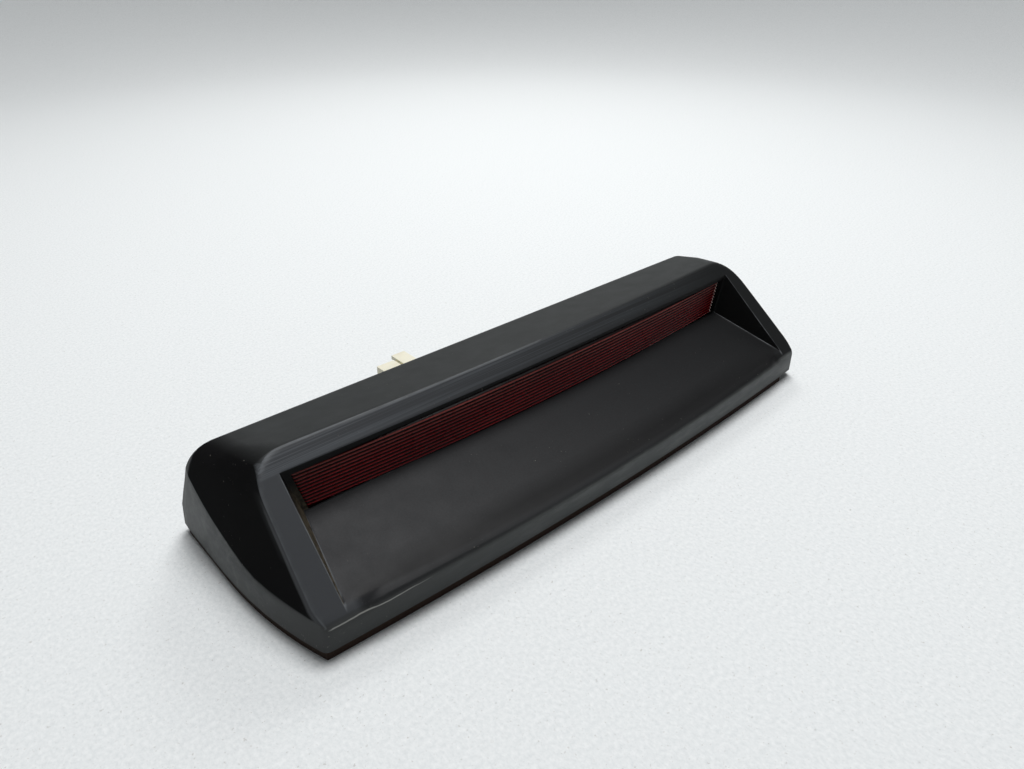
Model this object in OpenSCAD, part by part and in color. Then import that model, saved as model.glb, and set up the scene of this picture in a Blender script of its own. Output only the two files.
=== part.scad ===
// Third brake light for a car's rear parcel shelf: a long hooded moulding with a recessed, ribbed red lens.
// Millimetres, +Z up. The origin is the middle of the base pad's underside, on the surface it stands on.
// The lens faces -Y, towards the rear window, and the harness socket points to +Y.

/* [Hood] */
// Width across the rear corners of the hood's skirt
hood_w = 266; // [260:1:272]
// Width across the front corners of the hood's skirt
hood_front_w = 250; // [244:1:256]
// Depth of the hood from its front corners to its rear edge
hood_depth = 84; // [82:1:88]
// Height of the crease above the skirt's lower edge
crease_h = 45; // [44:0.5:47]
// Height of the upright skirt
skirt_h = 8.5; // [6:0.5:9]
// How far the front edge bows forwards at the middle
front_bow = 4.1; // [2:0.1:6]
// Wall of the hood moulding
wall = 2.5; // [2:0.1:2.6]
// Tilt of the front bezel from the horizontal, which follows the glass of the rear window
bezel_tilt = 39.6; // [38:0.2:41]
// Slope of the roof behind the crease
roof_slope = 15; // [13:0.5:16]

/* [Lens] */
// Visible width of the lens along its lower edge
lens_w = 214.4; // [206:0.2:216]
// Visible height of the lens
lens_h = 14.6; // [13:0.2:15]
// How far the lens bows forwards at the middle
lens_bow = 3.5; // [2:0.1:4]
// Number of ribs across the lens
rib_count = 11; // [8:1:14]
// Depth of a rib
rib_depth = 0.5; // [0.3:0.05:0.7]

/* [Lamp] */
// Distance from bulb to bulb
bulb_pitch = 54; // [52:0.5:54]
// Diameter of a bulb's glass
bulb_d = 10; // [9:0.1:10.3]
// Length of a bulb from its base to its tip
bulb_len = 26; // [24:0.2:26.8]
// Width of the harness socket
socket_w = 15.5; // [15:0.1:16]
// Position of the harness socket along the lamp
socket_x = -37.95; // [-38.5:0.05:-37.5]

/* [Mounting] */
// Thickness of the foam pad under the lamp
pad_t = 3; // [2.5:0.1:4]
// Thickness of the base plate
plate_t = 2.5; // [2:0.1:3]
// Distance between the two threaded inserts
insert_pitch = 180; // [160:1:190]
// Core diameter of an insert's M5 thread
insert_core_d = 4.2; // [4:0.05:4.3]

/* [Hidden] */

// Hood, outside
front_y = -40;
rear_y = front_y + hood_depth;
skirt_z = pad_t;
skirt_top = skirt_z + skirt_h;
side_y = 15;                   // the side edges run straight from here to the rear
side_power = 2.3;              // how quickly the side edges draw in towards the front
lip_lean = 0.3;                // how far the skirt's top stands forward of its foot at the corners
lip_bow = 1;                   // and how much more it bows forwards at the middle
rim_t = 0.5;                   // thickness of the thin slices that hull() joins into the skirt
corner_r = 3;                  // rear corners of the skirt, in plan; more than the wall, so the inside is round too
crease_y = 2.1;
crease_z = skirt_z + crease_h;
bezel_corner_r = 10;           // outer top corners of the bezel, in its own plane
bezel_top_w = 244.6;           // width of the bezel at its top corners
edge_round = 0.4;              // step between the bezel's plane and the full width of its corners
roof_round = 8;                // radius along the roof's rear edge and down its ends
roof_inset = 2;                // how far the roof's ends stand inside the skirt
roof_rear_y = 25;              // centre of the roof's rear rounding

// Recess in front of the lens: one sloping shelf, a back wall and two drafted cheeks
shelf_tilt = 17.1;
shelf_rear = [-4.9, 25];
back_y = -4;
cheek_x0 = 109.4;              // half width of the recess at the shelf's rear edge
cheek_by_y = -0.30;            // change of that half width per millimetre of y
cheek_by_z = 0.306;            // and per millimetre of z
tub_wall = 2.2;
cut_far = 60;                  // how far cutting shapes reach past the moulding

// Lens, seal and lamp body
lens_bottom = 25.6;
lens_top = lens_bottom + lens_h;
lens_flare = 0.247;            // sideways slope of the lens's ends
lens_front_mid = back_y - 3;
rib_share = 0.6;               // part of the pitch that a rib takes up
lens_wall = 2.2;
lens_gap = 0.3;
flange_y = back_y + tub_wall + 0.2;
flange_t = 2;
flange_up = 1.0;
flange_down = 2;
flange_side = 2.2;
seal_t = 1;
body_y = flange_y + flange_t + seal_t;
body_rear_y = 26;
body_wall = 2;
body_front_z = 22.6;           // the body's underside at the seal
body_roof = [[12, 40.4], [20, 38.4]];
body_rear_z = [20.6, 36.4];
ear_x = 118;
ear_z = 30;
ear_half = 4.5;
ear_in = 9;
ear_out = 3.4;
ear_t = 2.5;

// Reflector
bowl_front = body_y + 2;
bowl_deep = 19;
bowl_t = 1;
bowl_gap = 0.3;
bowl_half = 106;

// Bulb carrier and everything on it
bulb_count = 4;
bulb_z = 29.4;
gasket_t = 1;
carrier_y = body_rear_y + gasket_t;
carrier_t = 2.4;
carrier_back = carrier_y + carrier_t;
carrier_half = 95;
carrier_z = [22, 36.3];
barrel_r = 6;
barrel_y = 20;
slot_w = 10;
slot_h = 3.2;
wedge_w = 9.4;
wedge_t = 2.1;
glass_wall = 0.8;
filament_y = 12.4;
lead_r = 0.25;
lead_x = 2.2;
filament_r = 0.3;
bulb_base = carrier_back - 0.2;
bulb_tip = bulb_base - bulb_len;

// Brass strips and the two-way harness socket
strip_t = 0.8;
strip_end = 84;
contact_t = 0.4;
contact_half = 2.5;
contact_z = 1.1;               // from the bulb's axis to the face of a contact
live_z = [bulb_z + contact_z, bulb_z + contact_z + 3.2];
ground_z = [22.6, 25];
pin_w = 2.3;
pin_t = 0.8;
pin_pitch = 6;
pin_z = 26;
pin_end = 48;
slack = 0.05;                  // room around a strip or pin in the nylon
shell_z = [21, 31];
shell_end = 49.8;
shell_wall = 1.3;
shell_floor = 37;
key_w = 6.3;                   // raised, longer half of the socket that keys the plug
key_up = 0.4;
key_end = 52.9;
key_groove = 1;

// Window in the hood's rear wall and the two release latches
window_half = 96;
window_z = [19.4, 36.8];
latch_x = 54;
latch_half = 6;
latch_z = [19.8, 21.6];
latch_root = carrier_y + 0.3;
latch_tip = 45;
latch_root_r = (latch_z[1] - latch_z[0]) / 2;
barb_y = [34.3, 35.7];
barb_z = 18.4;
grip_count = 3;
grip_pitch = 1.6;

// Base plate, pad, inserts and screws
plate_gap = 0.4;
plate_top = skirt_z + plate_t;
pad_right = 116;               // the pad stops short of the right-hand end
pad_inset = 0.4;
insert_y = 5;
insert_r = 4.4;
insert_len = 8;
insert_boss_r = 6.5;
insert_boss_top = 12.5;
front_screw = [100, -25];
rear_screw = [104, 36];
boss_r = 3.5;
rear_boss_top = 15;
boss_rib_gap = 1.7;            // from a rear boss's rib to the outside of the rear wall
boss_rib_top = 13;
lamp_boss_y = -14;             // front end of the bosses that take the lamp's screws
pilot_r = 1.4;
pilot_depth = 9;
screw_r = 1.38;
screw_head_r = 3.2;
screw_head_h = 2;
screw_len = 9;
rib_t = 1.5;
rib_top = 9;
rib_half = 105;                // the base plate's long ribs run this far each way
rib_y = [-15, 22];
rib_x = [-60, -20, 20, 60];
eps = 0.01;

$fn = 48;

// Half width of the skirt at a given y
function side_x(y) =
    hood_w / 2 - (hood_w - hood_front_w) / 2 * pow(max(0, (side_y - y) / (side_y - front_y)), side_power);

// Front edge at a given x, with the given bow
function front_edge(x, bow) = front_y - bow * (1 - pow(2 * x / hood_front_w, 2));

// Right half of the skirt's outline from the front corner round to the rear, moved in by d
function skirt_side(d) = concat(
    [for (i = [0:10]) let (y = front_y + d + i * (side_y - front_y - d) / 10) [side_x(y) - d, y]],
    [for (a = [0:15:90]) [
        hood_w / 2 - corner_r + (corner_r - d) * cos(a),
        rear_y - corner_r + (corner_r - d) * sin(a)
    ]]
);

function mirrored(points) = [for (i = [len(points) - 1:-1:0]) [-points[i].x, points[i].y]];

// Outline of the skirt, moved in by d, with its front edge moved forward by lean
module skirt_outline(d, bow = front_bow, lean = 0) {
    side = skirt_side(d);
    front = [for (i = [-9:9]) let (x = i / 10 * (side[0].x)) [x, front_edge(x, bow) + d - lean]];
    polygon(concat(front, side, mirrored(side)));
}

// Extrudes an outline drawn in x and z from y0 to y1
module along_y(y0, y1) {
    translate([0, y1, 0]) rotate([90, 0, 0]) linear_extrude(y1 - y0) children();
}

// Extrudes an outline drawn in y and z from x0 to x1
module along_x(x0, x1) {
    translate([x0, 0, 0]) rotate([90, 0, 90]) linear_extrude(x1 - x0) children();
}

// A cylinder along Y
module rod_y(x, z, y0, y1, r) {
    translate([x, y0, z]) rotate([-90, 0, 0]) cylinder(r = r, h = y1 - y0);
}

// A box from its lowest to its highest corner
module box(low, high) {
    translate(low) cube(high - low);
}

// Both ends of the lamp at once
module both_ends() {
    children();
    mirror([1, 0, 0]) children();
}

// The hood as one convex lump, moved in by d; the inner one also runs out through the open underside
module hood_form(d) {
    drop = d > 0 ? eps * 100 : 0;
    hull() {
        translate([0, 0, skirt_z - drop]) linear_extrude(rim_t) skirt_outline(d);
        translate([0, 0, skirt_top - rim_t - d / 2]) linear_extrude(rim_t)
            skirt_outline(d, front_bow + lip_bow, lip_lean);
        both_ends() {
            translate([bezel_top_w / 2 - bezel_corner_r, crease_y, crease_z]) rotate([bezel_tilt, 0, 0])
                translate([0, -bezel_corner_r, -edge_round - d])
                    cylinder(r1 = bezel_corner_r - d, r2 = bezel_corner_r - edge_round - d, h = edge_round, $fn = 32);
            translate([hood_w / 2 - roof_inset - roof_round, roof_rear_y, roof_centre_z()])
                sphere(r = roof_round - d, $fn = 32);
        }
    }
}

// Height of the roof rounding's centre, so that the roof's plane is tangent to it
function roof_centre_z() =
    crease_z - (roof_rear_y + roof_round * sin(roof_slope) - crease_y) * tan(roof_slope)
    - roof_round * cos(roof_slope);

function shelf_z(y) = shelf_rear[1] + (y - shelf_rear[0]) * tan(shelf_tilt);

function cheek_x(y, z) = cheek_x0 + cheek_by_y * (y - shelf_rear[0]) + cheek_by_z * (z - shelf_rear[1]);

// The space in front of the lens, grown by t on its shelf, back wall and cheeks
module recess(t) {
    rear = back_y + t;
    section = [
        [rear, shelf_z(rear) - t],
        [rear, cut_far],
        [-cut_far, cut_far],
        [-cut_far, shelf_z(-cut_far) - t]
    ];
    right = [for (p = section) [cheek_x(p[0], p[1]) + t, p[0], p[1]]];
    left = [for (p = right) [-p.x, p.y, p.z]];
    polyhedron(
        points = concat(right, left),
        faces = [[3, 2, 1, 0], [4, 5, 6, 7], [1, 5, 4, 0], [2, 6, 5, 1], [3, 7, 6, 2], [0, 4, 7, 3]]
    );
}

// Outline of the lens in x and z, grown by side, down and up
module lens_outline(side, down, up) {
    low_x = lens_w / 2 + side - down * lens_flare;
    high_x = lens_w / 2 + side + (lens_h + up) * lens_flare;
    polygon([
        [-low_x, lens_bottom - down],
        [low_x, lens_bottom - down],
        [high_x, lens_top + up],
        [-high_x, lens_top + up]
    ]);
}

module flange_outline() {
    lens_outline(flange_side, flange_down, flange_up);
}

module front_boss() {
    translate([front_screw.x, front_screw.y, plate_top])
        cylinder(r = boss_r, h = shelf_z(front_screw.y) - tub_wall / 2 - plate_top);
}

// A rear boss and the rib that ties it to the rear wall
module rear_boss() {
    translate([rear_screw.x, rear_screw.y, plate_top]) cylinder(r = boss_r, h = rear_boss_top - plate_top);
    box([rear_screw.x - rib_t / 2, rear_screw.y, plate_top], [rear_screw.x + rib_t / 2, rear_y - boss_rib_gap, boss_rib_top]);
}

module pilot(at) {
    translate([at.x, at.y, plate_top - eps]) cylinder(r = pilot_r, h = pilot_depth);
}

module hood() {
    color("#1b1b1c") difference() {
        union() {
            difference() {
                hood_form(0);
                hood_form(wall);
            }
            intersection() {
                hood_form(0);
                recess(tub_wall);
            }
            both_ends() {
                front_boss();
                rear_boss();
                rod_y(ear_x, ear_z, lamp_boss_y, body_y, boss_r);
            }
        }
        recess(0);
        along_y(back_y - 4, flange_y) lens_outline(lens_gap, lens_gap, lens_gap);
        box([-window_half, body_rear_y, window_z[0]], [window_half, rear_y + 1, window_z[1]]);
        both_ends() {
            pilot(front_screw);
            pilot(rear_screw);
            rod_y(ear_x, ear_z, body_y - pilot_depth, body_y + eps, pilot_r);
        }
    }
}

// Plan of the lens from its bowed front, set back by d, to a straight back edge
module lens_plan(d, back) {
    half = lens_w / 2 + flange_side;
    steps = 24;
    bow = [for (i = [0:steps]) let (x = half * (2 * i / steps - 1))
        [x, lens_front_mid + d + lens_bow * pow(2 * x / lens_w, 2)]];
    polygon(concat(bow, [[half, back], [-half, back]]));
}

// The lens's front block with its ribs
module ribbed_block() {
    pitch = lens_h / rib_count;
    intersection() {
        along_y(lens_front_mid - 1, flange_y + 1) lens_outline(0, 1, 1);
        union() {
            translate([0, 0, lens_bottom]) linear_extrude(lens_h) lens_plan(rib_depth, flange_y + eps);
            for (i = [0:rib_count - 1]) translate([0, 0, lens_bottom + (i + (1 - rib_share) / 2) * pitch])
                linear_extrude(pitch * rib_share) lens_plan(0, flange_y + eps);
        }
    }
}

module lens() {
    color("#7d0f12", 0.8) difference() {
        union() {
            ribbed_block();
            along_y(flange_y, flange_y + flange_t) flange_outline();
        }
        intersection() {
            along_y(lens_front_mid - 1, flange_y + flange_t + 1) lens_outline(-lens_wall, -lens_wall, -lens_wall);
            translate([0, 0, lens_bottom]) linear_extrude(lens_h)
                lens_plan(rib_depth + lens_wall, flange_y + flange_t + 1);
        }
    }
}

module lens_seal() {
    color("#d8d4c8") difference() {
        along_y(flange_y + flange_t, body_y) flange_outline();
        along_y(flange_y + flange_t - 1, body_y + 1) lens_outline(-lens_wall, -lens_wall, -lens_wall);
    }
}

// Side view of the lamp body, moved in by d
module body_profile(d) {
    polygon([
        [body_y - (d > 0 ? 1 : 0), body_front_z + d],
        [body_y - (d > 0 ? 1 : 0), lens_top + flange_up - d],
        [body_roof[0].x, body_roof[0].y - d],
        [body_roof[1].x, body_roof[1].y - d],
        [body_rear_y - d, body_rear_z[1] - d],
        [body_rear_y - d, body_rear_z[0] + d]
    ]);
}

module ear() {
    difference() {
        box([ear_x - ear_in, body_y, ear_z - ear_half], [ear_x + ear_out, body_y + ear_t, ear_z + ear_half]);
        rod_y(ear_x, ear_z, body_y - 1, body_y + ear_t + 1, pilot_r + 0.4);
    }
}

module lamp_body() {
    drop = lens_bottom - body_rear_z[0];
    color("#242425") difference() {
        union() {
            intersection() {
                along_x(-cut_far * 2, cut_far * 2) body_profile(0);
                along_y(body_y, body_rear_y) lens_outline(flange_side, drop, flange_up);
            }
            both_ends() ear();
        }
        intersection() {
            along_x(-cut_far * 2, cut_far * 2) body_profile(body_wall);
            along_y(body_y - 1, body_rear_y) lens_outline(flange_side - body_wall, drop - body_wall, 0);
        }
        for (x = bulb_xs()) rod_y(x, bulb_z, barrel_y - 1, body_rear_y + 1, barrel_r + 0.4);
    }
}

function bulb_xs() = [for (i = [0:bulb_count - 1]) (i - (bulb_count - 1) / 2) * bulb_pitch];

// A parabolic bowl about a bulb's axis, wide end first, grown by t
module bowl(t) {
    steps = 12;
    rim = bulb_pitch / 2 - 0.2;
    curve = [for (i = [0:steps]) let (r = rim * (1 - i / steps)) [r + t, bowl_deep * (1 - pow(r / rim, 2))]];
    translate([0, bowl_front, bulb_z]) rotate([-90, 0, 0]) rotate_extrude()
        polygon(concat([[0, -eps]], [[rim + t, -eps]], curve, [[0, bowl_deep + t]]));
}

module bowls(t) {
    for (x = bulb_xs()) translate([x, 0, 0]) bowl(t);
}

// One bright bowl per bulb, between a floor and a roof that follow the lamp body
module reflector() {
    inside = body_wall + bowl_gap + bowl_t;
    color("#d5d7da") difference() {
        intersection() {
            along_x(-bowl_half, bowl_half) body_profile(body_wall + bowl_gap);
            union() {
                bowls(bowl_t);
                difference() {
                    box([-bowl_half, bowl_front, 0], [bowl_half, bowl_front + bowl_deep - 2, cut_far]);
                    along_x(-bowl_half - 1, bowl_half + 1) body_profile(inside);
                }
            }
        }
        intersection() {
            along_x(-bowl_half - 1, bowl_half + 1) body_profile(inside);
            bowls(0);
        }
        for (x = bulb_xs()) rod_y(x, bulb_z, body_y, cut_far, barrel_r + 0.5);
    }
}

// Pan-head screw with a cross recess, its head's underside on z = 0 and its shank upwards
module screw() {
    cross = [0.9, 3.6, 1.1];
    difference() {
        union() {
            translate([0, 0, -screw_head_h]) cylinder(r = screw_head_r, h = screw_head_h);
            translate([0, 0, -eps]) cylinder(r = screw_r, h = screw_len);
        }
        for (a = [0, 90]) rotate([0, 0, a]) translate([0, 0, -screw_head_h]) cube(cross, center = true);
    }
}

module lamp_screws() {
    color("#8d8f92") both_ends() translate([ear_x, body_y + ear_t, ear_z]) rotate([90, 0, 0]) screw();
}

module base_screws() {
    color("#8d8f92") both_ends() for (at = [front_screw, rear_screw]) translate([at.x, at.y, skirt_z]) screw();
}

module carrier_gasket() {
    color("#3a3a3c") difference() {
        box([-carrier_half, body_rear_y, carrier_z[0]], [carrier_half, carrier_y, carrier_z[1]]);
        for (x = bulb_xs()) rod_y(x, bulb_z, body_rear_y - 1, carrier_y + 1, barrel_r + 0.2);
    }
}

// Live strip grown by g: a long run, one contact per bulb, and the leg down to its pin
module live_shape(g) {
    pin_x = socket_x - pin_pitch / 2;
    box([-strip_end - g, carrier_back, live_z[0] - g], [strip_end + g, carrier_back + strip_t + g, live_z[1] + g]);
    for (x = bulb_xs()) box(
        [x - contact_half - g, barrel_y + 1, bulb_z + contact_z],
        [x + contact_half + g, carrier_back + strip_t, bulb_z + contact_z + contact_t]
    );
    box(
        [pin_x - pin_w / 2 - g, carrier_back, pin_z - pin_t / 2 - g],
        [pin_x + pin_w / 2 + g, carrier_back + strip_t + g, live_z[0] + eps]
    );
    terminal(pin_x, g);
}

// Ground strip grown by g: its long run lies lower, with a riser at each bulb and at its pin
module ground_shape(g) {
    pin_x = socket_x + pin_pitch / 2;
    box([-strip_end - g, carrier_back, ground_z[0] - g], [strip_end + g, carrier_back + strip_t + g, ground_z[1] + g]);
    for (x = bulb_xs()) {
        box(
            [x - contact_half - g, carrier_back, ground_z[1] - eps],
            [x + contact_half + g, carrier_back + strip_t, bulb_z - contact_z]
        );
        box(
            [x - contact_half - g, barrel_y + 1, bulb_z - contact_z - contact_t],
            [x + contact_half + g, carrier_back + strip_t, bulb_z - contact_z]
        );
    }
    box(
        [pin_x - pin_w / 2 - g, carrier_back, ground_z[1] - eps],
        [pin_x + pin_w / 2 + g, carrier_back + strip_t + g, pin_z + pin_t / 2 + g]
    );
    terminal(pin_x, g);
}

module terminal(x, g) {
    box(
        [x - pin_w / 2 - g, carrier_back, pin_z - pin_t / 2 - g],
        [x + pin_w / 2 + g, pin_end, pin_z + pin_t / 2 + g]
    );
}

module busbar_live() {
    color("#c9a24c") live_shape(0);
}

module busbar_ground() {
    color("#c9a24c") ground_shape(0);
}

// Two-way harness socket: a plain half, and a raised and longer half that keys the plug
module harness_socket() {
    left = socket_x - socket_w / 2;
    right = socket_x + socket_w / 2;
    difference() {
        union() {
            box([left, carrier_back - eps, shell_z[0]], [right, shell_end, shell_z[1]]);
            box([right - key_w, carrier_back - eps, shell_z[0]], [right, key_end, shell_z[1] + key_up]);
        }
        box(
            [left + shell_wall, shell_floor, shell_z[0] + shell_wall],
            [right - shell_wall, cut_far, shell_z[1] - shell_wall]
        );
        box(
            [right - key_w - key_groove, shell_floor, shell_z[1] - shell_wall / 2],
            [right - key_w, cut_far, shell_z[1] + key_up]
        );
    }
}

module bulb_carrier() {
    color("#ddd6bf") difference() {
        union() {
            box([-carrier_half, carrier_y, carrier_z[0]], [carrier_half, carrier_back, carrier_z[1]]);
            for (x = bulb_xs()) rod_y(x, bulb_z, barrel_y, carrier_y + eps, barrel_r);
            harness_socket();
        }
        for (x = bulb_xs()) box(
            [x - slot_w / 2, barrel_y - 1, bulb_z - slot_h / 2],
            [x + slot_w / 2, carrier_back + strip_t, bulb_z + slot_h / 2]
        );
        live_shape(slack);
        ground_shape(slack);
    }
}

// A release latch: an arm that flexes at its rounded root, a barb behind the sill and a ribbed thumb tab
module latch(x) {
    color("#ddd6bf") translate([x, 0, 0]) {
        box([-latch_half, latch_root + latch_root_r, latch_z[0]], [latch_half, latch_tip, latch_z[1]]);
        translate([-latch_half, latch_root + latch_root_r, latch_z[0] + latch_root_r]) rotate([0, 90, 0])
            cylinder(r = latch_root_r, h = 2 * latch_half);
        along_x(-latch_half + 1, latch_half - 1) polygon([
            [barb_y[0] - 2.4, latch_z[0] + eps],
            [barb_y[1], latch_z[0] + eps],
            [barb_y[1], barb_z],
            [barb_y[0], barb_z]
        ]);
        for (i = [0:grip_count - 1]) box(
            [-latch_half + 1, latch_tip - 1.4 - i * grip_pitch, latch_z[1] - eps],
            [latch_half - 1, latch_tip - 0.8 - i * grip_pitch, latch_z[1] + 0.5]
        );
    }
}

module latch_left() {
    latch(-latch_x);
}

module latch_right() {
    latch(latch_x);
}

// Glass of a wedge-base bulb: a domed tube on a flat pinch, with a bore for each lead
module bulb(i) {
    x = bulb_xs()[i];
    r = bulb_d / 2;
    dome = bulb_tip + r;
    color("#dfe6ea", 0.4) difference() {
        union() {
            rod_y(x, bulb_z, dome, barrel_y, r);
            translate([x, dome, bulb_z]) sphere(r = r);
            box(
                [x - wedge_w / 2, barrel_y - eps, bulb_z - wedge_t / 2],
                [x + wedge_w / 2, bulb_base, bulb_z + wedge_t / 2]
            );
        }
        rod_y(x, bulb_z, dome, barrel_y - 2 * glass_wall, r - glass_wall);
        translate([x, dome, bulb_z]) sphere(r = r - glass_wall);
        for (side = [-lead_x, lead_x]) rod_y(x + side, bulb_z, barrel_y - 3, bulb_base + 1, lead_r + slack);
    }
}

// Two leads and the filament between them
module filament(i) {
    x = bulb_xs()[i];
    color("#9a9c9f") {
        for (side = [-lead_x, lead_x]) rod_y(x + side, bulb_z, filament_y, bulb_base, lead_r);
        translate([x - lead_x, filament_y, bulb_z]) rotate([0, 90, 0]) cylinder(r = filament_r, h = 2 * lead_x);
    }
}

module bulb_1() {
    bulb(0);
}

module bulb_2() {
    bulb(1);
}

module bulb_3() {
    bulb(2);
}

module bulb_4() {
    bulb(3);
}

module filament_1() {
    filament(0);
}

module filament_2() {
    filament(1);
}

module filament_3() {
    filament(2);
}

module filament_4() {
    filament(3);
}

module base_plate() {
    color("#2b2b2c") difference() {
        union() {
            translate([0, 0, skirt_z]) linear_extrude(plate_t) skirt_outline(wall + plate_gap);
            for (x = [-insert_pitch / 2, insert_pitch / 2])
                translate([x, insert_y, skirt_z]) cylinder(r = insert_boss_r, h = insert_boss_top - skirt_z);
            for (y = rib_y) box([-rib_half, y - rib_t / 2, plate_top - eps], [rib_half, y + rib_t / 2, rib_top]);
            for (x = rib_x) box([x - rib_t / 2, rib_y[0], plate_top - eps], [x + rib_t / 2, rib_y[1], rib_top]);
        }
        for (x = [-insert_pitch / 2, insert_pitch / 2])
            translate([x, insert_y, skirt_z - 1]) cylinder(r = insert_r + slack, h = insert_len + 1);
        both_ends() for (at = [front_screw, rear_screw])
            translate([at.x, at.y, skirt_z - 1]) cylinder(r = pilot_r + 0.4, h = plate_t + 2);
    }
}

// Foam pad: its front edge follows the hood's, and it has holes for the inserts and the screw heads
module base_pad() {
    color("#3a2019") difference() {
        linear_extrude(pad_t) intersection() {
            skirt_outline(pad_inset);
            translate([pad_right - 2 * hood_w, -cut_far]) square([2 * hood_w, 2 * cut_far]);
        }
        for (x = [-insert_pitch / 2, insert_pitch / 2])
            translate([x, insert_y, -1]) cylinder(r = insert_r + 0.6, h = pad_t + 2);
        both_ends() for (at = [front_screw, rear_screw])
            translate([at.x, at.y, -1]) cylinder(r = screw_head_r + 0.8, h = pad_t + 2);
    }
}

module insert(x) {
    color("#c9a24c") translate([x, insert_y, skirt_z]) difference() {
        cylinder(r = insert_r, h = insert_len);
        translate([0, 0, -1]) cylinder(r = insert_core_d / 2, h = insert_len + 2);
    }
}

module insert_left() {
    insert(-insert_pitch / 2);
}

module insert_right() {
    insert(insert_pitch / 2);
}

hood();
lens();
lens_seal();
lamp_body();
reflector();
lamp_screws();
carrier_gasket();
bulb_carrier();
latch_left();
latch_right();
busbar_live();
busbar_ground();
bulb_1();
bulb_2();
bulb_3();
bulb_4();
filament_1();
filament_2();
filament_3();
filament_4();
base_plate();
base_pad();
base_screws();
insert_left();
insert_right();
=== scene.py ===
import math

import bmesh
import bpy
import numpy as np
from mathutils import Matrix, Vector


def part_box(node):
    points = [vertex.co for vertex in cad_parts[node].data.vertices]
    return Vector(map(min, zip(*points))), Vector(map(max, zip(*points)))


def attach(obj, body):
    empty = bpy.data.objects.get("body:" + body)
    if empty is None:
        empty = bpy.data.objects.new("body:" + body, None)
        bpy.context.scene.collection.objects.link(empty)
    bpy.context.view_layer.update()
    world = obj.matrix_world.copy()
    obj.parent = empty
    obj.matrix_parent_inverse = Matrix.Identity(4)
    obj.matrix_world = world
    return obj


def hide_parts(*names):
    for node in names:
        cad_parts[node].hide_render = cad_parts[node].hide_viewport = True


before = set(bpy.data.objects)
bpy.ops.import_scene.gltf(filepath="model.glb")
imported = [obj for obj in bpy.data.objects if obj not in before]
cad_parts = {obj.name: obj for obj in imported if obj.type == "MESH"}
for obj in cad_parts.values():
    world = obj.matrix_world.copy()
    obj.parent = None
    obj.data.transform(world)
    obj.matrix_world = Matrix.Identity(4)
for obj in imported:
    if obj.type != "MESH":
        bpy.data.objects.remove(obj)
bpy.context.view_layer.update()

MM = 0.001


def box_mm(node):
    """Lowest and highest corner of a CAD node, in millimetres."""
    low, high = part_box(node)
    return np.array(low) / MM, np.array(high) / MM


# ---------------------------------------------------------------- camera, floor and light

CAMERA_AT = (-0.1860, -0.1882, 0.1842)
CAMERA_LOOKS = (0.5738, 0.6388, -0.5125)
CAMERA_LENS = 27.04
FLOOR_R = 0.95                  # the floor is flat out to here, then curves up
FLOOR_SIDES = 96
SWEEP_R = 1.3                   # radius of the curve
SWEEP_TURN = 65                 # and how far it turns up, in degrees
SWEEP_STEPS = 24
ROOM_BRIGHT = (0.30, 0.93, 0.20)    # the room is brightest this way, behind the lamp
ROOM_STRENGTH = (0.06, 0.40)    # the room's light away from that way, and towards it
ROOM_EDGE = 0.95                # how squarely a direction faces that way to be at full strength
LIGHTS_AIM = (0, 0, 0.02)


def make_camera():
    """A wide-angle camera above the left front corner."""
    data = bpy.data.cameras.new("camera")
    data.lens = CAMERA_LENS
    data.sensor_width = 36
    data.clip_start = 0.01
    cam = bpy.data.objects.new("camera", data)
    cam.location = CAMERA_AT
    cam.rotation_euler = Vector(CAMERA_LOOKS).to_track_quat("-Z", "Y").to_euler()
    bpy.context.scene.collection.objects.link(cam)
    bpy.context.scene.camera = cam


def area_light(name, at, size, power, colour=(1, 1, 1)):
    """A rectangular soft light aimed at the lamp."""
    data = bpy.data.lights.new(name, "AREA")
    data.shape = "RECTANGLE"
    data.size, data.size_y = size
    data.energy = power
    data.color = colour
    lamp = bpy.data.objects.new(name, data)
    lamp.location = at
    lamp.rotation_euler = (Vector(LIGHTS_AIM) - Vector(at)).to_track_quat("-Z", "Y").to_euler()
    bpy.context.scene.collection.objects.link(lamp)


def make_lights():
    """One large soft light overhead, a weak one behind, and a room that is brighter behind the lamp."""
    area_light("overhead", (0.26, 0.18, 1.50), (0.7, 0.6), 18.5)
    area_light("rear_right", (0.55, 0.65, 0.75), (0.4, 0.3), 2.2, (1, 0.99, 0.97))
    world = bpy.data.worlds.new("world")
    world.use_nodes = True
    tree = world.node_tree
    back = tree.nodes["Background"]
    back.inputs["Color"].default_value = (0.96, 0.98, 1.0, 1)
    place = tree.nodes.new("ShaderNodeTexCoord")
    facing = tree.nodes.new("ShaderNodeVectorMath")
    facing.operation = "DOT_PRODUCT"
    facing.inputs[1].default_value = ROOM_BRIGHT
    spread = tree.nodes.new("ShaderNodeMapRange")
    spread.inputs["From Max"].default_value = ROOM_EDGE
    spread.inputs["To Min"].default_value, spread.inputs["To Max"].default_value = ROOM_STRENGTH
    tree.links.new(place.outputs["Generated"], facing.inputs[0])
    tree.links.new(facing.outputs["Value"], spread.inputs["Value"])
    tree.links.new(spread.outputs["Result"], back.inputs["Strength"])
    bpy.context.scene.world = world
    bpy.context.scene.view_settings.view_transform = "Standard"


# ---------------------------------------------------------------- materials

GRAIN_DEPTH = 0.00004           # of moulded plastic's grain, in metres


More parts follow.
